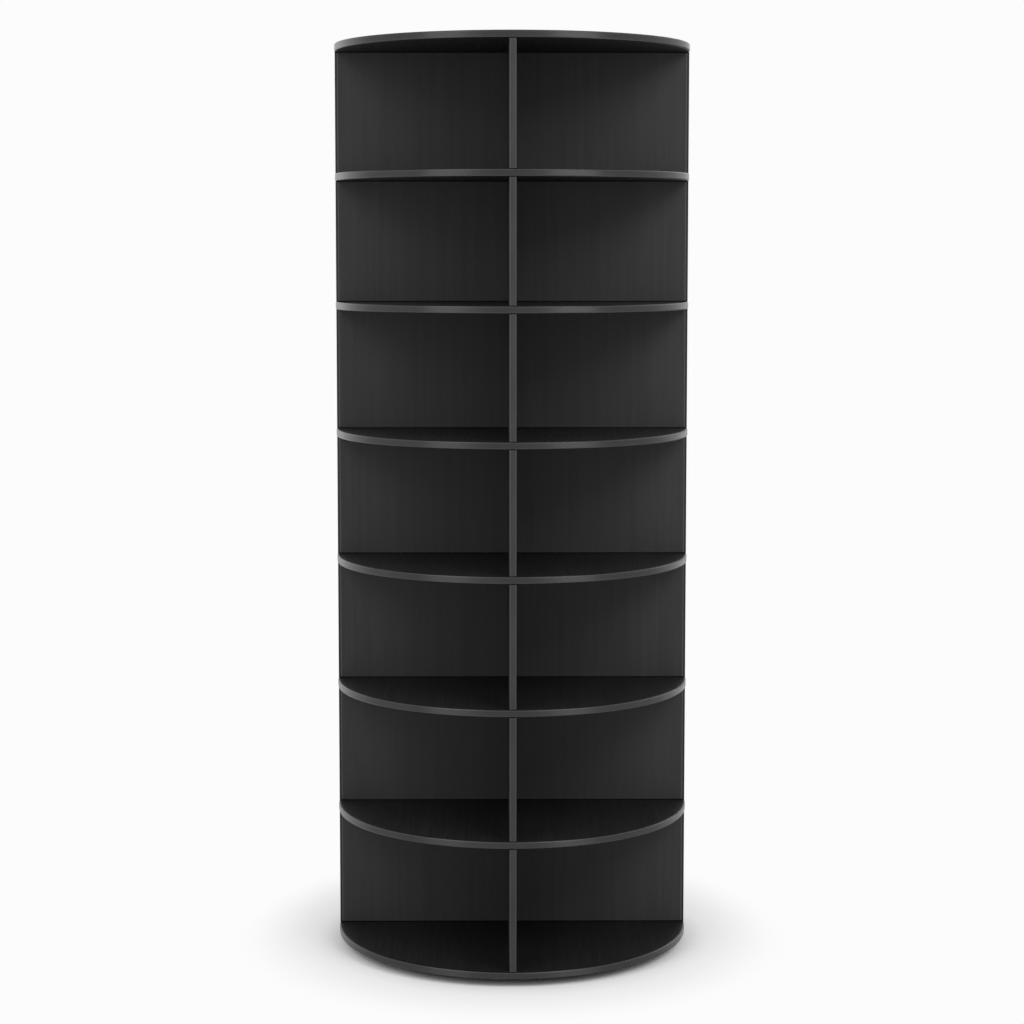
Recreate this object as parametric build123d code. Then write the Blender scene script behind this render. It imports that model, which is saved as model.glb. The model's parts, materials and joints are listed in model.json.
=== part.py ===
from build123d import *
import os

# A free-standing rotating shoe tower. Round boards carry tiers of four open quarter-circle
# compartments, and the whole stack turns on a ball bearing ring above a low round base.
#
# The floor is z = 0 and the turning axis is +Z. One line of panels runs along X (the cross
# panels, each in one piece), the other along Y (the front panels towards -Y and the rear
# panels towards +Y, which butt against the cross panels). Sizes are in millimetres.

# Round boards. The diameter is measured over the edge band.
board_diameter = 600.0
board_thickness = 12.0

# Thick edge band with rounded arrises, the same stock on boards and panels
edge_band_thickness = 3.0
edge_band_rounding = 2.0

# Tiers and panels
tier_count = 7
tier_clear_height = 204.0
panel_thickness = 12.0
panel_setback = 0.5

# Screws and dowels that hold panels and boards together
panel_screw_diameter = 4.0
panel_screw_head_diameter = 8.0
panel_screw_length = 40.0
panel_screw_from_axis = 85.0
panel_screw_from_rim = 75.0
dowel_diameter = 6.0
dowel_grip = 14.0
dowel_chamfer = 1.0
cross_dowel_from_edge = 50.0
cap_diameter = 12.5
cap_thickness = 1.0
cap_rounding = 0.3

# Base
foot_pad_count = 6
foot_pad_diameter = 25.0
foot_pad_height = 3.0
foot_pad_from_edge = 12.0
foot_pad_rounding = 0.6
base_disc_diameter = 460.0
base_disc_thickness = 3.0
base_disc_rounding = 1.0
access_hole_diameter = 10.0

# Swivel bearing: two flat concentric rings with the balls between them
ball_circle_diameter = 300.0
ball_diameter = 4.0
ball_count = 36
ring_width = 24.0
ring_height = 7.0
ring_chamfer = 0.5
ring_parting = 2.0
ring_lift = 1.0
ring_screw_count = 8
ring_screw_diameter = 4.0
ring_screw_head_diameter = 7.5
ring_screw_cover = 3.0
cage_web = 0.5

# Cross recess of every screw
recess_span = 3.6
recess_width = 1.0
recess_depth = 1.6

# Screw points
wood_point = 4.0
metal_point = 0.5
point_radius = 0.4

# Clearances
fastener_clearance = 0.05
hole_end_gap = 1.0
ball_clearance = 0.05
cage_clearance = 0.3
cut_over = 1.0

# Sizes that follow from the ones above
board_radius = board_diameter / 2
core_radius = board_radius - edge_band_thickness
widest_rounding = 0.45 * min(board_thickness, panel_thickness)
band_rounding = min(edge_band_rounding, 0.9 * edge_band_thickness, widest_rounding)
panel_reach = board_radius - panel_setback
panel_core_reach = panel_reach - edge_band_thickness
tier_pitch = tier_clear_height + board_thickness

base_disc_bottom = foot_pad_height
base_disc_top = base_disc_bottom + base_disc_thickness
swivel_top = base_disc_top + ring_height + ring_lift

ball_circle_radius = ball_circle_diameter / 2
ball_radius = ball_diameter / 2
ball_level = (base_disc_top + swivel_top) / 2
outer_ring_bore = ball_circle_radius + ring_parting / 2
inner_ring_rim = ball_circle_radius - ring_parting / 2
outer_ring_screw_circle = outer_ring_bore + ring_width / 2
inner_ring_screw_circle = inner_ring_rim - ring_width / 2
ring_screw_bite = board_thickness - ring_screw_cover

# The four arms of the cross that the panels make, as angles from +X
right_arm = 0
rear_arm = 90
left_arm = 180
front_arm = 270
all_arms = (right_arm, rear_arm, left_arm, front_arm)

# Places of screws and dowels along an arm, as distances from the axis
screw_places = (panel_screw_from_axis, board_radius - panel_screw_from_rim)
dowel_place = sum(screw_places) / 2

from_base_up = (Align.CENTER, Align.CENTER, Align.MIN)
from_top_down = (Align.CENTER, Align.CENTER, Align.MAX)
upside_down = Rot(180, 0, 0)


def board_bottom(level):
    """Underside of a board. Level 0 is the bottom board and tier_count the top board."""
    return swivel_top + level * tier_pitch


def board_top(level):
    return board_bottom(level) + board_thickness


def panel_bottom(tier):
    """Lower edge of the panels of a tier. Tier 1 is the lowest."""
    return board_top(tier - 1)


def panel_top(tier):
    return board_bottom(tier)


def on_arm(arm, distance, height):
    return Pos(0, 0, height) * Rot(0, 0, arm) * Pos(distance, 0, 0)


def ring_places(count, radius, height, start=0.0):
    """Evenly spaced places on a circle about the turning axis."""
    return [on_arm(start + 360 * n / count, radius, height) for n in range(count)]


def turned(*points):
    """A solid turned about Z from (radius, height) points."""
    return revolve(Plane.XZ * make_face(Polyline(*points, close=True)), Axis.Z)


def group(solids):
    return Compound(children=list(solids))


# Fasteners and the holes for them. Each starts at z = 0 and runs down.


def screw(diameter, head_diameter, length, point):
    head_height = (head_diameter - diameter) / 2
    body = turned(
        (0, 0),
        (head_diameter / 2, 0),
        (diameter / 2, -head_height),
        (diameter / 2, point - length),
        (point_radius, -length),
        (0, -length),
    )
    slot = Box(recess_span, recess_width, recess_depth, align=from_top_down)
    return body - slot - Rot(0, 0, 90) * slot


def countersunk_hole(diameter, head_diameter, depth):
    radius = diameter / 2 + fastener_clearance
    head_radius = head_diameter / 2 + fastener_clearance
    return turned(
        (0, cut_over),
        (head_radius, cut_over),
        (head_radius, 0),
        (radius, radius - head_radius),
        (radius, -depth),
        (0, -depth),
    )


def drilled_hole(diameter, depth):
    hole = Cylinder(diameter / 2 + fastener_clearance, depth + cut_over, align=from_top_down)
    return Pos(0, 0, cut_over) * hole


def dowel(length):
    radius = dowel_diameter / 2
    return turned(
        (0, length / 2),
        (radius - dowel_chamfer, length / 2),
        (radius, length / 2 - dowel_chamfer),
        (radius, dowel_chamfer - length / 2),
        (radius - dowel_chamfer, -length / 2),
        (0, -length / 2),
    )


panel_screw = screw(panel_screw_diameter, panel_screw_head_diameter, panel_screw_length, wood_point)
panel_screw_board_hole = countersunk_hole(
    panel_screw_diameter, panel_screw_head_diameter, board_thickness + cut_over
)
panel_screw_bite = panel_screw_length - board_thickness
panel_screw_pilot = drilled_hole(panel_screw_diameter, panel_screw_bite + hole_end_gap)
top_screw_pilot = drilled_hole(panel_screw_diameter, panel_screw_bite + cap_thickness + hole_end_gap)
dowel_hole = drilled_hole(dowel_diameter, dowel_grip + hole_end_gap)


def screws_on_arms(height, arms=all_arms):
    return [on_arm(arm, distance, height) for arm in arms for distance in screw_places]


def dowels_on_arms(height, arms=all_arms):
    return [on_arm(arm, dowel_place, height) for arm in arms]


# Boards


def plain_board(level):
    return Pos(0, 0, board_bottom(level)) * Cylinder(core_radius, board_thickness, align=from_base_up)


def board_band(level):
    """The edge band of a round board, rounded at its two outer arrises."""
    band = Cylinder(board_radius, board_thickness, align=from_base_up)
    band = fillet(band.edges().filter_by(GeomType.CIRCLE), band_rounding)
    band -= Cylinder(core_radius, board_thickness, align=from_base_up)
    return Pos(0, 0, board_bottom(level)) * band


def bottom_board():
    cuts = [place * upside_down * panel_screw_board_hole for place in screws_on_arms(board_bottom(0))]
    pilot = upside_down * drilled_hole(ring_screw_diameter, ring_screw_bite + hole_end_gap)
    cuts += [place * pilot for place in inner_ring_screw_places(board_bottom(0))]
    return plain_board(0) - cuts


def shelf_board(level):
    cuts = [place * panel_screw_board_hole for place in screws_on_arms(board_top(level))]
    through = drilled_hole(dowel_diameter, board_thickness + cut_over)
    cuts += [place * through for place in dowels_on_arms(board_top(level))]
    return plain_board(level) - cuts


def top_board():
    """Its screw heads sit below flush caps, so its countersinks start below its top face."""
    cap_seat = drilled_hole(cap_diameter, cap_thickness)
    cuts = [place * cap_seat for place in screws_on_arms(board_top(tier_count))]
    head_level = board_top(tier_count) - cap_thickness
    cuts += [place * panel_screw_board_hole for place in screws_on_arms(head_level)]
    return plain_board(tier_count) - cuts


# Panels


def edge_holes(tier, arms):
    """Screw and dowel holes in the lower and upper edges of a tier's panels."""
    low, high = panel_bottom(tier), panel_top(tier)
    if tier == 1:
        cuts = [place * upside_down * panel_screw_pilot for place in screws_on_arms(low, arms)]
    else:
        cuts = [place * upside_down * dowel_hole for place in dowels_on_arms(low, arms)]
    if tier == tier_count:
        cuts += [place * top_screw_pilot for place in screws_on_arms(high, arms)]
    else:
        cuts += [place * panel_screw_pilot for place in screws_on_arms(high, arms)]
        cuts += [place * dowel_hole for place in dowels_on_arms(high, arms)]
    return cuts


def cross_dowel_places(tier):
    """Two dowels per tier lie along Y and run through the cross panel into both half panels."""
    heights = (panel_bottom(tier) + cross_dowel_from_edge, panel_top(tier) - cross_dowel_from_edge)
    return [Pos(0, 0, height) * Rot(90, 0, 0) for height in heights]


def cross_dowel_holes(tier):
    length = panel_thickness + 2 * (dowel_grip + hole_end_gap)
    hole = Cylinder(dowel_diameter / 2 + fastener_clearance, length)
    return [place * hole for place in cross_dowel_places(tier)]


def cross_panel(tier):
    panel = Box(2 * panel_core_reach, panel_thickness, tier_clear_height, align=from_base_up)
    panel = Pos(0, 0, panel_bottom(tier)) * panel
    return panel - (edge_holes(tier, (right_arm, left_arm)) + cross_dowel_holes(tier))


def half_panel(tier, arm):
    """A panel from the face of the cross panel to the rim of the boards."""
    length = panel_core_reach - panel_thickness / 2
    outwards = (Align.MIN, Align.CENTER, Align.MIN)
    panel = Box(length, panel_thickness, tier_clear_height, align=outwards)
    panel = on_arm(arm, panel_thickness / 2, panel_bottom(tier)) * panel
    return panel - (edge_holes(tier, (arm,)) + cross_dowel_holes(tier))


def panel_bands(tier):
    """Edge bands on the four outer ends of a tier's panels, rounded at their outer arrises."""
    from_rim_in = (Align.MAX, Align.CENTER, Align.MIN)
    band = Box(edge_band_thickness, panel_thickness, tier_clear_height, align=from_rim_in)
    band = fillet(band.edges().filter_by(Axis.Z).group_by(Axis.X)[-1], band_rounding)
    return group(on_arm(arm, panel_reach, panel_bottom(tier)) * band for arm in all_arms)


# Screws, dowels and caps of the tower


def shelf_dowels():
    """Each runs through a shelf into the panels below and above it."""
    pin = dowel(board_thickness + 2 * dowel_grip)
    levels = range(1, tier_count)
    middles = [board_bottom(level) + board_thickness / 2 for level in levels]
    return group(place * pin for middle in middles for place in dowels_on_arms(middle))


def cross_dowels():
    pin = dowel(panel_thickness + 2 * dowel_grip)
    tiers = range(1, tier_count + 1)
    return group(place * pin for tier in tiers for place in cross_dowel_places(tier))


def shelf_screws():
    """Down through each shelf into the panels below it. The panels above cover the heads."""
    levels = range(1, tier_count)
    return group(place * panel_screw for level in levels for place in screws_on_arms(board_top(level)))


def bottom_screws():
    return group(place * upside_down * panel_screw for place in screws_on_arms(board_bottom(0)))


def top_screws():
    head_level = board_top(tier_count) - cap_thickness
    return group(place * panel_screw for place in screws_on_arms(head_level))


def top_screw_caps():
    cap = Cylinder(cap_diameter / 2, cap_thickness, align=from_top_down)
    cap = fillet(cap.edges().group_by(Axis.Z)[-1], cap_rounding)
    return group(place * cap for place in screws_on_arms(board_top(tier_count)))


# Swivel bearing and base


def inner_ring_screw_places(height):
    """Half a pitch away from the arms, so that no screw meets one of a panel."""
    return ring_places(ring_screw_count, inner_ring_screw_circle, height, 180 / ring_screw_count)


def outer_ring_screw_places(height):
    return ring_places(ring_screw_count, outer_ring_screw_circle, height, 180 / ring_screw_count)


def bearing_ring(bore, rim, bottom):
    """A flat ring with chamfered edges and its half of the ball groove."""
    ring = Cylinder(rim, ring_height, align=from_base_up)
    ring -= Cylinder(bore, ring_height, align=from_base_up)
    ring = chamfer(ring.edges().filter_by(GeomType.CIRCLE), ring_chamfer)
    groove = Pos(0, 0, ball_level) * Torus(ball_circle_radius, ball_radius + ball_clearance)
    return Pos(0, 0, bottom) * ring - groove


def bearing_outer_ring():
    """Fixed to the base disc by countersunk screws from above."""
    ring = bearing_ring(outer_ring_bore, outer_ring_bore + ring_width, base_disc_top)
    hole = countersunk_hole(ring_screw_diameter, ring_screw_head_diameter, ring_height + cut_over)
    return ring - [place * hole for place in outer_ring_screw_places(base_disc_top + ring_height)]


def bearing_inner_ring():
    """Fixed to the bottom board by countersunk screws from below."""
    bottom = base_disc_top + ring_lift
    ring = bearing_ring(inner_ring_rim - ring_width, inner_ring_rim, bottom)
    hole = upside_down * countersunk_hole(
        ring_screw_diameter, ring_screw_head_diameter, ring_height + cut_over
    )
    return ring - [place * hole for place in inner_ring_screw_places(bottom)]


def outer_ring_screws():
    """Machine screws that end level with the underside of the base disc."""
    length = ring_height + base_disc_thickness
    pin = screw(ring_screw_diameter, ring_screw_head_diameter, length, metal_point)
    return group(place * pin for place in outer_ring_screw_places(base_disc_top + ring_height))


def inner_ring_screws():
    length = ring_height + ring_screw_bite
    pin = upside_down * screw(ring_screw_diameter, ring_screw_head_diameter, length, wood_point)
    return group(place * pin for place in inner_ring_screw_places(base_disc_top + ring_lift))


def ball_places():
    return ring_places(ball_count, ball_circle_radius, ball_level)


def bearing_balls():
    return group(place * Sphere(ball_radius) for place in ball_places())


def bearing_cage():
    """A thin ring between the two bearing rings, with a round pocket for each ball."""
    height = ball_diameter + 2 * (ball_clearance + cage_web)
    rim = Cylinder(outer_ring_bore - cage_clearance, height)
    cage = Pos(0, 0, ball_level) * (rim - Cylinder(inner_ring_rim + cage_clearance, height))
    pocket = Rot(0, 90, 0) * Cylinder(ball_radius + ball_clearance, ring_parting)
    return cage - [place * pocket for place in ball_places()]


def base_disc():
    """A steel disc. Access holes lie under the inner ring's screws, tapped ones under the outer's."""
    disc = Cylinder(base_disc_diameter / 2, base_disc_thickness, align=from_base_up)
    rounding = min(base_disc_rounding, 0.45 * base_disc_thickness)
    disc = fillet(disc.edges().filter_by(GeomType.CIRCLE), rounding)
    disc = Pos(0, 0, base_disc_bottom) * disc
    depth = base_disc_thickness + cut_over
    access = drilled_hole(access_hole_diameter, depth)
    tapped = drilled_hole(ring_screw_diameter, depth)
    cuts = [place * access for place in inner_ring_screw_places(base_disc_top)]
    cuts += [place * tapped for place in outer_ring_screw_places(base_disc_top)]
    return disc - cuts


def foot_pads():
    pad = Cylinder(foot_pad_diameter / 2, foot_pad_height, align=from_base_up)
    pad = fillet(pad.edges().group_by(Axis.Z)[0], foot_pad_rounding)
    pad_circle = (base_disc_diameter - foot_pad_diameter) / 2 - foot_pad_from_edge
    return group(place * pad for place in ring_places(foot_pad_count, pad_circle, 0))


def named_boards():
    """The boards and their edge bands by name, from the bottom up."""
    named = {"bottom_board": bottom_board(), "bottom_board_band": board_band(0)}
    for level in range(1, tier_count):
        named[f"shelf_board_{level}"] = shelf_board(level)
        named[f"shelf_band_{level}"] = board_band(level)
    named["top_board"] = top_board()
    named["top_board_band"] = board_band(tier_count)
    return named


def named_panels():
    """The panels and their edge bands by name, from the lowest tier up."""
    named = {}
    for tier in range(1, tier_count + 1):
        named[f"cross_panel_{tier}"] = cross_panel(tier)
        named[f"front_panel_{tier}"] = half_panel(tier, front_arm)
        named[f"rear_panel_{tier}"] = half_panel(tier, rear_arm)
        named[f"panel_bands_{tier}"] = panel_bands(tier)
    return named


sub_parts = {
    **named_boards(),
    **named_panels(),
    "shelf_dowels": shelf_dowels(),
    "cross_dowels": cross_dowels(),
    "shelf_screws": shelf_screws(),
    "bottom_screws": bottom_screws(),
    "top_screws": top_screws(),
    "top_screw_caps": top_screw_caps(),
    "foot_pads": foot_pads(),
    "base_disc": base_disc(),
    "bearing_outer_ring": bearing_outer_ring(),
    "outer_ring_screws": outer_ring_screws(),
    "bearing_balls": bearing_balls(),
    "bearing_cage": bearing_cage(),
    "bearing_inner_ring": bearing_inner_ring(),
    "inner_ring_screws": inner_ring_screws(),
}

os.makedirs("parts", exist_ok=True)
for name, shape in sub_parts.items():
    export_step(shape, f"parts/{name}.step")
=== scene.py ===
import json
import math

import bmesh
import bpy
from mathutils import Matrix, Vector


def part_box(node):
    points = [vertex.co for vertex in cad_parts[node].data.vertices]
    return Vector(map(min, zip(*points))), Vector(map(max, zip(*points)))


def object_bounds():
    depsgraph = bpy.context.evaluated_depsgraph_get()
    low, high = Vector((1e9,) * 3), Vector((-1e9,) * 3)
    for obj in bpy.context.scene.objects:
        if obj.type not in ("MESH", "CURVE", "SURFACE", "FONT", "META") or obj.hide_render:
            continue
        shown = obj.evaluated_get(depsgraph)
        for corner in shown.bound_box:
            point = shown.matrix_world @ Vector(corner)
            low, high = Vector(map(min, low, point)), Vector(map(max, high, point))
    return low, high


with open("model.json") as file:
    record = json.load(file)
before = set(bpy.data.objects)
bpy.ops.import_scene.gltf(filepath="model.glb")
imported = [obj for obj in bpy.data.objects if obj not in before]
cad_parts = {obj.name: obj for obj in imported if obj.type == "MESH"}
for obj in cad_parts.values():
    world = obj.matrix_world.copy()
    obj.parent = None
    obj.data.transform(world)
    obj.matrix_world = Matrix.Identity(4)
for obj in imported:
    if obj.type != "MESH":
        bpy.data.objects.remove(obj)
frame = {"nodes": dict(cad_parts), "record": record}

# The looks of a rotating shoe tower in black laminate. Lengths are in metres, in the frame of the
# solids: the floor is z = 0, the turning axis is +Z and the front is -Y. Colours are linear, and
# one number is a grey. The scale of a noise is per metre.

cad_low, cad_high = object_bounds()
tower_middle = (cad_low + cad_high) / 2

# The heights at which boards and panels repeat
board_low, board_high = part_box("bottom_board")
next_board_low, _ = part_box("shelf_board_1")
tier_pitch = next_board_low.z - board_low.z
stack_bottom = board_low.z
board_thickness = board_high.z - board_low.z

# Where the bands of the panels meet the panels, as a distance from the axis
band_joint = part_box("cross_panel_1")[1].x

# The camera, worked out for a square picture
camera_distance = 4.0763
camera_height = 1.2075
camera_azimuth = math.radians(0.31)
camera_tilt = math.radians(5.376)
camera_lens = 83.81
camera_shift_up = -0.0449
camera_sees_to = 100.0

# The white that the eye and reflections see, and the light that the world gives
white = 0.972
world_light = 0.4

# The floor. It turns into plain white by half over each of two fades, which are distances from
# the axis. Behind the tower, y counts for less in the far fade, so more of the shadow is kept.
floor_reach = 30.0
floor_segments = 96
floor_greys = 0.655, 0.675
floor_mottle_scale = 3.0
floor_roughness = 0.9
near_fade = 0.26, 0.35
far_fade = 0.30, 0.487
far_fade_behind = 0.8

# The lamps, large and soft: azimuth (0 in front, 90 to the right) and elevation in degrees from
# the middle of the tower, then distance, width, height and radiance
lamps = {
    "left_front": (-43, 8, 5.0, 2.2, 3.0, 2.3),
    "right_front": (40, 8, 5.0, 2.2, 3.0, 1.8),
    "left_side": (-80, 8, 5.0, 2.6, 3.0, 0.43),
    "left_high": (-42, 38, 5.0, 2.6, 2.4, 4.7),
    "right_high": (42, 38, 5.0, 2.6, 2.4, 7.7),
    "left_back": (-128, 8, 5.0, 4.0, 3.5, 0.6),
    "right_low": (128, -7.5, 3.0, 2.2, 0.7, 0.66),
    "behind": (180, 30, 5.0, 4.0, 3.0, 0.7),
}

# Parts of the range of a noise: most of it, its middle, and the peaks that make scattered marks
most = 0.3, 0.7
middle = 0.35, 0.65
peaks = 0.58, 0.70

# The grain of the laminate is drawn out along the board and starts elsewhere on each board. The
# boards are counted from a little under their undersides.
grain_squeeze = 0.025
grain_shift = 1.37
count_slack = 0.001
cloud_scale = 16.0
streak_scale = 110.0
fibre_scale = 420.0
pore_scale = 1100.0
cloud_share, streak_share, fibre_share = 0.25, 0.5, 0.25
tone_range = 0.32, 0.68
pore_peaks = 0.58, 0.72
pore_strength = 0.3
pore_darkening = 0.75
laminate_roughness = 0.46, 0.56
laminate_bump = 0.00008, 0.5

# Marks on a panel. A painted highlight line comes and goes at these distances inwards from the
# joint with its edge band, and the joint itself darkens at the next. Painted shade darkens the
# seams along the boards above and below, and at the middle of the tower, where the panels cross.
highlight_line_comes = 0.0023, 0.0020
highlight_line_goes = 0.0006, 0.0009
highlight_line_grey = 0.085
joint_darkens = 0.0008, 0.0005
joint_grey = 0.012
board_seam_shade = 0.0016, 0.0008
corner_seam_shade = 0.0072, 0.0066
seam_shade_grey = 0.001

# Edge bands. The fine lines along them are drawn out by a factor on the height or, on a round
# one, on the angle. Distances are from the middle of a band's thickness.
line_scale = 2400.0
line_squeeze = 0.01
line_squeeze_round = 0.002
band_mottle_scale = 22.0
band_specular = 0.32
band_bump = 0.00002, 0.3
# Painted highlight: the arrises of the bands are lightened to this grey
arris_highlight_grey = 0.034
# Painted shade: the grey and the share of the dark edges and lines on the bands, made metallic
# there so that they reflect little
painted_shade_grey = 0.002
painted_shade_strength = 0.8

round_greys = 0.017, 0.020
round_roughness = 0.37, 0.43
round_arris_highlight = 0.0036, 0.0044
# Painted shade along the top and bottom edges of the round band
round_edge_shade = 0.0050, 0.0056

upright_greys = 0.019, 0.023
upright_roughness = 0.33, 0.39
upright_arris_highlight = 0.0033, 0.0040
# Painted shade on the panels' band: at its ends where it meets the boards, on its outer roundings
# and in a thin line beside the panel's faces
upright_end_shade = 0.0010, 0.0005
upright_side_shade = 0.0050, 0.0058
upright_side_shade_grey = 0.014
shade_line_comes = 0.0053, 0.0056
shade_line_goes = 0.00598, 0.0059

# Beech, turned aluminium, powder coat and moulded parts, whose mottle is so many times as large as
# their fine texture
beech_squeeze = 0.15
beech_fleck_scale = 1600.0
beech_ring_scale = 420.0
beech_tones = (0.50, 0.31, 0.16), (0.62, 0.42, 0.24)
beech_fleck_tone = (0.36, 0.20, 0.10)
beech_roughness = 0.55, 0.7
turned_scale = 2400.0
aluminium_tones = (0.66, 0.66, 0.68), (0.76, 0.76, 0.78)
aluminium_roughness = 0.28, 0.42
peel_scale = 700.0
speck_scale = 3200.0
coat_greys = 0.014, 0.022
coat_roughness = 0.38, 0.5
mould_mottle_ratio = 30


def colour(value):
    grey_or_three = (value,) * 3 if isinstance(value, (int, float)) else tuple(value)
    return grey_or_three + (1.0,)


class Nodes:
    """A node tree, empty at first, and short calls that add nodes to it."""

    def __init__(self, tree):
        self.tree = tree
        tree.nodes.clear()

    def put(self, value, target):
        """Sets a socket to a value, or links it where the value is another node's output."""
        if isinstance(value, bpy.types.NodeSocket):
            self.tree.links.new(value, target)
        else:
            target.default_value = value

    def add(self, kind, inputs=(), **settings):
        """Adds a node. Its inputs are filled in their order or, from a dict, by name or place."""
        node = self.tree.nodes.new(kind)
        for name, setting in settings.items():
            setattr(node, name, setting)
        for key, value in inputs.items() if isinstance(inputs, dict) else enumerate(inputs):
            self.put(value, node.inputs[key])
        return node

    def math(self, operation, *values):
        return self.add("ShaderNodeMath", values, operation=operation).outputs["Value"]

    def mix_shaders(self, factor, first, second):
        return self.add("ShaderNodeMixShader", (factor, first, second)).outputs["Shader"]


class Surface(Nodes):
    """A material around one Principled shader, built from the coordinates of the solid."""

    def __init__(self, name):
        self.material = bpy.data.materials.new(name)
        self.material.use_nodes = True
        super().__init__(self.material.node_tree)
        self.shader = self.add("ShaderNodeBsdfPrincipled")
        shown = {"Surface": self.shader.outputs["BSDF"]}
        self.output = self.add("ShaderNodeOutputMaterial", shown)
        self.place = self.add("ShaderNodeTexCoord").outputs["Object"]

    def set(self, **sockets):
        """Fills sockets of the shader. A name has _ for each space of the socket's name."""
        for name, value in sockets.items():
            self.put(value, self.shader.inputs[name.replace("_", " ")])

    def separate(self, vector):
        return tuple(self.add("ShaderNodeSeparateXYZ", (vector,)).outputs)

    def combine(self, x, y, z):
        return self.add("ShaderNodeCombineXYZ", (x, y, z)).outputs["Vector"]

    def scaled(self, vector, *factors):
        """A vector times a factor for each axis. A small one draws a noise out along its axis."""
        node = self.add("ShaderNodeVectorMath", (vector, factors), operation="MULTIPLY")
        return node.outputs["Vector"]

    def length(self, x, y):
        squares = self.math("ADD", self.math("MULTIPLY", x, x), self.math("MULTIPLY", y, y))
        return self.math("SQRT", squares)

    def largest(self, x, y):
        return self.math("MAXIMUM", self.math("ABSOLUTE", x), self.math("ABSOLUTE", y))

    def noise(self, vector, scale, detail=2.0, roughness=0.5):
        inputs = {"Vector": vector, "Scale": scale, "Detail": detail, "Roughness": roughness}
        return self.add("ShaderNodeTexNoise", inputs).outputs["Fac"]

    def turning(self):
        """The direction round the turning axis."""
        node = self.add("ShaderNodeTangent", direction_type="RADIAL", axis="Z")
        return node.outputs["Tangent"]

    def between(self, value, low, high, to_low=0.0, to_high=1.0):
        """Maps low..high to to_low..to_high, smoothly and without going past them."""
        inputs = {
            "Value": value,
            "From Min": low,
            "From Max": high,
            "To Min": to_low,
            "To Max": to_high,
        }
        node = self.add("ShaderNodeMapRange", inputs, interpolation_type="SMOOTHSTEP")
        return node.outputs["Result"]

    def blend(self, factor, first, second):
        """One colour or another by a factor. A colour is a grey, three numbers or an output."""
        first, second = (
            value if isinstance(value, bpy.types.NodeSocket) else colour(value)
            for value in (first, second)
        )
        # The colours' own sockets, which share their names with those of the other data types
        inputs = {"Factor": factor, 6: first, 7: second}
        return self.add("ShaderNodeMix", inputs, data_type="RGBA").outputs[2]

    def bump(self, height, distance, strength):
        inputs = {"Height": height, "Distance": distance, "Strength": strength}
        return self.add("ShaderNodeBump", inputs).outputs["Normal"]

    def above_board(self):
        """How far a point is above the underside of the board that it, or its tier, is on."""
        _, _, z = self.separate(self.place)
        return self.math("MODULO", self.math("SUBTRACT", z, stack_bottom), tier_pitch)

    def inside_ends(self):
        """How far a point is inside the ends of the panels that stand between two boards."""
        panel_middle = (board_thickness + tier_pitch) / 2
        off_middle = self.math("SUBTRACT", self.above_board(), panel_middle)
        half_height = (tier_pitch - board_thickness) / 2
        return self.math("SUBTRACT", half_height, self.math("ABSOLUTE", off_middle))


# Materials


def mark_panel(s, base):
    """Draws a panel's painted highlight lines, the joints with its edge bands and the painted
    shade in its seams. Gives the colour and where the shaded seams are."""
    x, y, _ = s.separate(s.place)
    reach = s.largest(x, y)

    def towards_band(start, end):
        """From 0 to 1 between two distances inwards from the joint with the edge band."""
        return s.between(reach, band_joint - start, band_joint - end)

    highlight_line = s.math("MULTIPLY", towards_band(*highlight_line_comes), towards_band(*highlight_line_goes))
    base = s.blend(highlight_line, base, highlight_line_grey)
    base = s.blend(towards_band(*joint_darkens), base, joint_grey)
    shade_at_boards = s.between(s.inside_ends(), *board_seam_shade)
    seam_shade = s.math("MAXIMUM", shade_at_boards, s.between(reach, *corner_seam_shade))
    return s.blend(seam_shade, base, seam_shade_grey), seam_shade


def laminate(name, upright, greys, specular):
    """Black melamine with a fine pressed grain along one axis, which differs from board to board.
    An upright one is a panel, with its marks, and a flat one has its grain along y."""
    s = Surface(name)
    x, y, z = s.separate(s.place)
    height = s.math("SUBTRACT", z, stack_bottom - count_slack)
    level = s.math("FLOOR", s.math("DIVIDE", height, tier_pitch))
    shift = s.math("MULTIPLY", level, grain_shift)
    shifted = s.combine(s.math("ADD", x, shift), s.math("ADD", y, shift), z)
    squeeze = (1.0, 1.0, grain_squeeze) if upright else (1.0, grain_squeeze, 1.0)
    along = s.scaled(shifted, *squeeze)

    cloud = s.noise(along, cloud_scale, detail=1.0)
    streak = s.noise(along, streak_scale, roughness=0.55)
    fibre = s.noise(along, fibre_scale, roughness=0.6)
    pores = s.between(s.noise(along, pore_scale, detail=1.0), *pore_peaks)

    broad = s.math(
        "ADD", s.math("MULTIPLY", streak, streak_share), s.math("MULTIPLY", cloud, cloud_share)
    )
    tone = s.math("ADD", broad, s.math("MULTIPLY", fibre, fibre_share))
    base = s.blend(s.between(tone, *tone_range), *greys)
    base = s.blend(s.math("MULTIPLY", pores, pore_strength), base, greys[0] * pore_darkening)
    # The fibres stand up and the pores go down, by half of the relief each
    grain = s.math("SUBTRACT", s.math("MULTIPLY", fibre, 0.5), s.math("MULTIPLY", pores, 0.5))
    if upright:
        base, seam_shade = mark_panel(s, base)
        # The painted shade in the seams is also made metallic, so that it reflects little
        s.set(Metallic=seam_shade)
    s.set(
        Base_Color=base,
        Roughness=s.between(fibre, *most, *laminate_roughness),
        Specular_IOR_Level=specular,
        Normal=s.bump(grain, *laminate_bump),
    )
    return s.material


def finish_band(s, base, painted_shade, lines, roughness, anisotropic, rotation):
    """Gives edging its shine, spread across the fine lines along it, and its painted shade, which
    is made metallic there so that it reflects little.
    """
    s.set(
        Base_Color=s.blend(painted_shade, base, painted_shade_grey),
        Metallic=painted_shade,
        Roughness=s.between(lines, *most, *roughness),
        Anisotropic=anisotropic,
        Anisotropic_Rotation=rotation,
        Tangent=s.turning(),
        Specular_IOR_Level=band_specular,
        Normal=s.bump(lines, *band_bump),
    )
    return s.material


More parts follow.
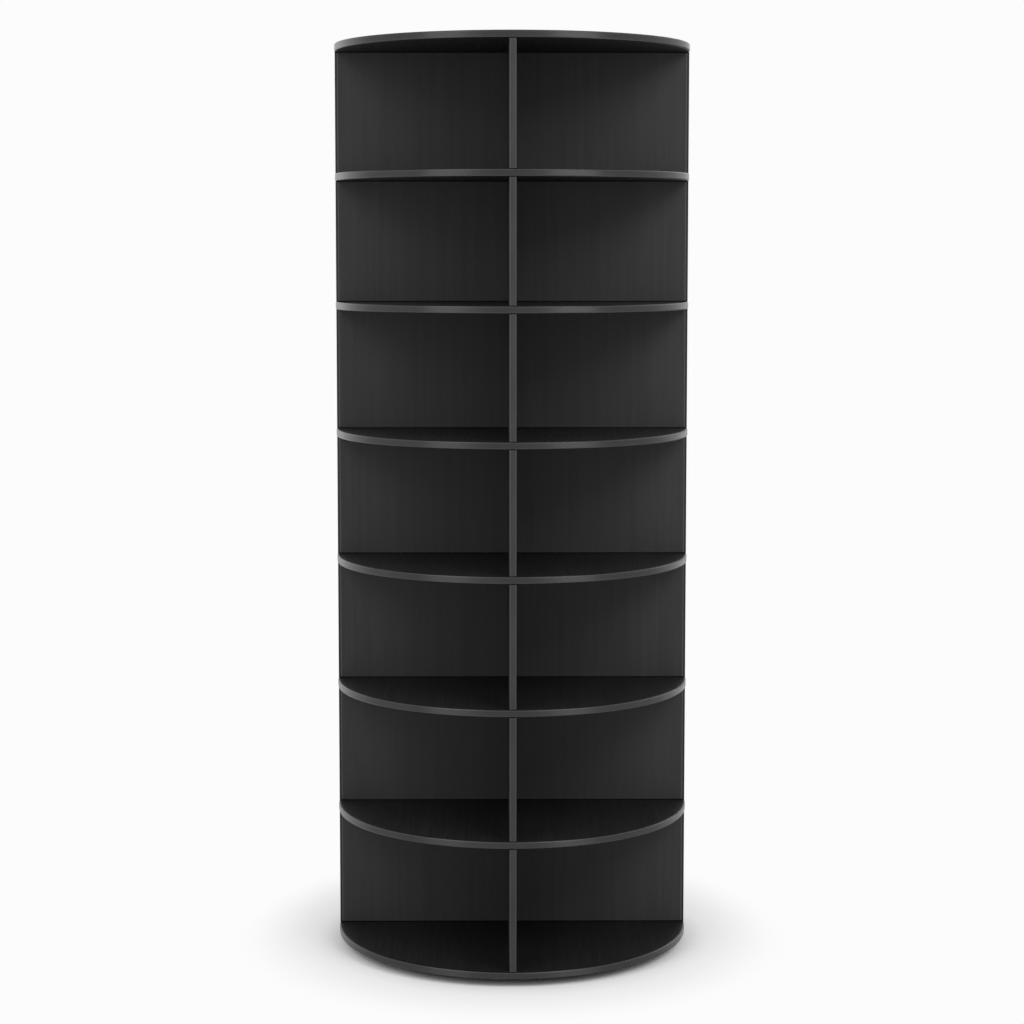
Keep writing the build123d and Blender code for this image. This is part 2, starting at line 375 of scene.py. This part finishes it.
def round_band():
    """Thick black edging of a round board. Painted highlights make its arrises a little lighter,
    and painted shade darkens it near its two edges, at top and bottom."""
    s = Surface("edge_band_round")
    x, y, z = s.separate(s.place)
    off_middle = s.math("ABSOLUTE", s.math("SUBTRACT", s.above_board(), board_thickness / 2))
    turn = s.math("MULTIPLY", s.math("ARCTAN2", y, x), line_squeeze_round)
    lines = s.noise(s.combine(turn, z, 0.0), line_scale)
    base = s.blend(s.between(s.noise(s.place, band_mottle_scale), *middle), *round_greys)
    base = s.blend(s.between(off_middle, *round_arris_highlight), base, arris_highlight_grey)
    painted_shade = s.between(off_middle, *round_edge_shade, 0.0, painted_shade_strength)
    return finish_band(s, base, painted_shade, lines, round_roughness, anisotropic=0.95, rotation=0.25)


def upright_band():
    """The same edging on the panels. Painted shade also darkens its outer roundings, its ends
    where it meets the boards, and a thin line beside the panel's faces."""
    s = Surface("edge_band_upright")
    x, y, _ = s.separate(s.place)
    off_middle = s.math("MINIMUM", s.math("ABSOLUTE", x), s.math("ABSOLUTE", y))
    lines = s.noise(s.scaled(s.place, 1.0, 1.0, line_squeeze), line_scale)
    base = s.blend(s.between(s.noise(s.place, band_mottle_scale), *middle), *upright_greys)
    base = s.blend(s.between(off_middle, *upright_arris_highlight), base, arris_highlight_grey)
    base = s.blend(s.between(off_middle, *upright_side_shade), base, upright_side_shade_grey)
    end_shade = s.between(s.inside_ends(), *upright_end_shade)
    shade_line = s.math(
        "MULTIPLY", s.between(off_middle, *shade_line_comes), s.between(off_middle, *shade_line_goes)
    )
    painted_shade = s.math("MAXIMUM", end_shade, s.math("MULTIPLY", shade_line, painted_shade_strength))
    return finish_band(s, base, painted_shade, lines, upright_roughness, anisotropic=0.9, rotation=0.0)


def beech():
    s = Surface("beech")
    along = s.scaled(s.place, 1.0, 1.0, beech_squeeze)
    fleck = s.noise(along, beech_fleck_scale, detail=3.0)
    ring = s.noise(along, beech_ring_scale)
    base = s.blend(s.between(ring, *middle), *beech_tones)
    base = s.blend(s.between(fleck, *peaks), base, beech_fleck_tone)
    s.set(
        Base_Color=base,
        Roughness=s.between(fleck, *most, *beech_roughness),
        Normal=s.bump(fleck, distance=0.0001, strength=0.5),
    )
    return s.material


def metal(name, tones, roughness, scale):
    """Plain metal with the slight unevenness of its finish."""
    s = Surface(name)
    haze = s.noise(s.place, scale, detail=3.0)
    s.set(
        Base_Color=s.blend(s.between(haze, *most), *tones),
        Metallic=1.0,
        Roughness=s.between(haze, *most, *roughness),
        Normal=s.bump(haze, distance=0.00003, strength=0.4),
    )
    return s.material


def turned_aluminium():
    """Aluminium with the fine circular lines of turning about the axis."""
    s = Surface("turned_aluminium")
    x, y, z = s.separate(s.place)
    rings = s.noise(s.combine(s.length(x, y), z, 0.0), turned_scale)
    s.set(
        Base_Color=s.blend(s.between(rings, *most), *aluminium_tones),
        Metallic=1.0,
        Roughness=s.between(rings, *most, *aluminium_roughness),
        Normal=s.bump(rings, distance=0.00004, strength=0.6),
    )
    return s.material


def powder_coat():
    """Black powder coat with its fine orange peel."""
    s = Surface("powder_coat")
    peel = s.noise(s.place, peel_scale)
    speck = s.noise(s.place, speck_scale, detail=1.0)
    s.set(
        Base_Color=s.blend(s.between(speck, *middle), *coat_greys),
        Roughness=s.between(peel, *most, *coat_roughness),
        Normal=s.bump(peel, distance=0.00015, strength=0.5),
    )
    return s.material


def moulded(name, tones, roughness, scale, bump_distance, specular=0.5):
    """Moulded plastic or rubber with the fine texture of its mould."""
    s = Surface(name)
    fine = s.noise(s.place, scale)
    slow = s.noise(s.place, scale / mould_mottle_ratio, detail=1.0)
    s.set(
        Base_Color=s.blend(s.between(slow, *middle), *tones),
        Roughness=s.between(fine, *most, *roughness),
        Specular_IOR_Level=specular,
        Normal=s.bump(fine, bump_distance, strength=0.5),
    )
    return s.material


finishes = {
    # The boards' grey is darker than the panels' as painted shade, standing in for the little
    # light on their tops and undersides inside the tiers
    "board_laminate": laminate(
        "board_laminate_y_grain", upright=False, greys=(0.006, 0.009), specular=0.17
    ),
    "panel_laminate": laminate(
        "panel_laminate_z_grain", upright=True, greys=(0.033, 0.040), specular=0.12
    ),
    "edge_band": round_band(),
    "dowel_wood": beech(),
    "screw_steel": metal(
        "zinc_plate",
        tones=((0.50, 0.51, 0.53), (0.62, 0.62, 0.63)),
        roughness=(0.25, 0.4),
        scale=900.0,
    ),
    "cap_plastic": moulded(
        "cap_plastic_black",
        tones=(0.007, 0.010),
        roughness=(0.46, 0.56),
        scale=2400.0,
        bump_distance=0.00004,
        specular=0.22,
    ),
    "pad_rubber": moulded(
        "pad_rubber_black",
        tones=(0.010, 0.018),
        roughness=(0.75, 0.9),
        scale=1800.0,
        bump_distance=0.0001,
    ),
    "base_steel": powder_coat(),
    "ring_aluminium": turned_aluminium(),
    "ball_steel": metal(
        "bearing_steel",
        tones=((0.58, 0.58, 0.60), (0.64, 0.64, 0.66)),
        roughness=(0.08, 0.14),
        scale=600.0,
    ),
    "cage_plastic": moulded(
        "cage_nylon",
        tones=((0.66, 0.65, 0.61), (0.74, 0.73, 0.70)),
        roughness=(0.45, 0.6),
        scale=1500.0,
        bump_distance=0.00005,
    ),
}


def dress_solids():
    """Gives each solid the finish of its slot. The edging of the panels has upright lines."""
    panel_edging = upright_band()
    for row in frame["record"]["subparts"]:
        node = frame["nodes"][row["node"]]
        finish = finishes[row["material_slot"]]
        if row["node"].startswith("panel_bands"):
            finish = panel_edging
        node.data.materials.clear()
        node.data.materials.append(finish)


# Stage, lights and camera


def seen_rays(nodes):
    """For the stage alone: 1 for rays from the camera, gloss or glass, and 0 for all others."""
    path = nodes.add("ShaderNodeLightPath").outputs
    reflected = nodes.math("MAXIMUM", path["Is Glossy Ray"], path["Is Transmission Ray"])
    return nodes.math("MAXIMUM", reflected, path["Is Camera Ray"])


def floor_material():
    """Pale, with plain white over it away from the foot, and clear from below."""
    s = Surface("floor")
    mottle = s.noise(s.place, floor_mottle_scale, detail=1.0)
    s.set(
        Base_Color=s.blend(mottle, *floor_greys),
        Roughness=floor_roughness,
        Specular_IOR_Level=0.0,
    )

    x, y, _ = s.separate(s.place)
    drawn_in = s.math("MINIMUM", y, s.math("MULTIPLY", y, far_fade_behind))
    near = s.between(s.length(x, y), *near_fade, 0.0, 0.5)
    far = s.between(s.length(x, drawn_in), *far_fade, 0.0, 0.5)
    share = s.math("MULTIPLY", s.math("ADD", near, far), seen_rays(s))
    glow = s.add("ShaderNodeEmission", {"Color": colour(white)}).outputs["Emission"]
    above = s.mix_shaders(share, s.shader.outputs["BSDF"], glow)

    below = s.add("ShaderNodeNewGeometry").outputs["Backfacing"]
    clear = s.add("ShaderNodeBsdfTransparent").outputs["BSDF"]
    s.put(s.mix_shaders(below, above, clear), s.output.inputs["Surface"])
    return s.material


def make_floor():
    """A round floor that keeps the shadow near the foot and a little further behind it, and that
    can be looked through from below, at the underside."""
    mesh = bpy.data.meshes.new("floor")
    build = bmesh.new()
    bmesh.ops.create_circle(build, cap_ends=True, segments=floor_segments, radius=floor_reach)
    build.to_mesh(mesh)
    build.free()
    floor = bpy.data.objects.new("floor", mesh)
    bpy.context.scene.collection.objects.link(floor)
    floor.data.materials.append(floor_material())


def make_world():
    """White for the eye and for reflections, and a softer level for the light it gives."""
    world = bpy.data.worlds.new("studio")
    bpy.context.scene.world = world
    world.use_nodes = True
    nodes = Nodes(world.node_tree)
    light = nodes.add("ShaderNodeBackground", {"Color": colour(1.0), "Strength": world_light})
    shown = nodes.add("ShaderNodeBackground", {"Color": colour(white), "Strength": 1.0})
    mix = nodes.mix_shaders(
        seen_rays(nodes), light.outputs["Background"], shown.outputs["Background"]
    )
    nodes.add("ShaderNodeOutputWorld", {"Surface": mix})


def softbox(name, azimuth, elevation, distance, width, height, radiance):
    """A flat light of even radiance that faces the middle of the tower."""
    turn, lift = math.radians(azimuth), math.radians(elevation)
    out = Vector(
        (math.sin(turn) * math.cos(lift), -math.cos(turn) * math.cos(lift), math.sin(lift))
    )
    data = bpy.data.lights.new(name, "AREA")
    data.shape = "RECTANGLE"
    data.size = width
    data.size_y = height
    data.energy = radiance * math.pi * width * height
    light = bpy.data.objects.new(name, data)
    light.location = tower_middle + distance * out
    light.rotation_euler = (-out).to_track_quat("-Z", "Y").to_euler()
    bpy.context.scene.collection.objects.link(light)


def make_camera():
    data = bpy.data.cameras.new("camera")
    data.sensor_width = 36.0
    data.lens = camera_lens
    data.shift_y = camera_shift_up
    data.clip_end = camera_sees_to
    camera = bpy.data.objects.new("camera", data)
    camera.location = (
        -camera_distance * math.sin(camera_azimuth),
        -camera_distance * math.cos(camera_azimuth),
        camera_height,
    )
    camera.rotation_euler = (math.pi / 2 - camera_tilt, 0.0, -camera_azimuth)
    bpy.context.scene.collection.objects.link(camera)
    bpy.context.scene.camera = camera


dress_solids()
make_floor()
make_world()
for name, measures in lamps.items():
    softbox(name, *measures)
make_camera()
bpy.context.scene.view_settings.view_transform = "Standard"
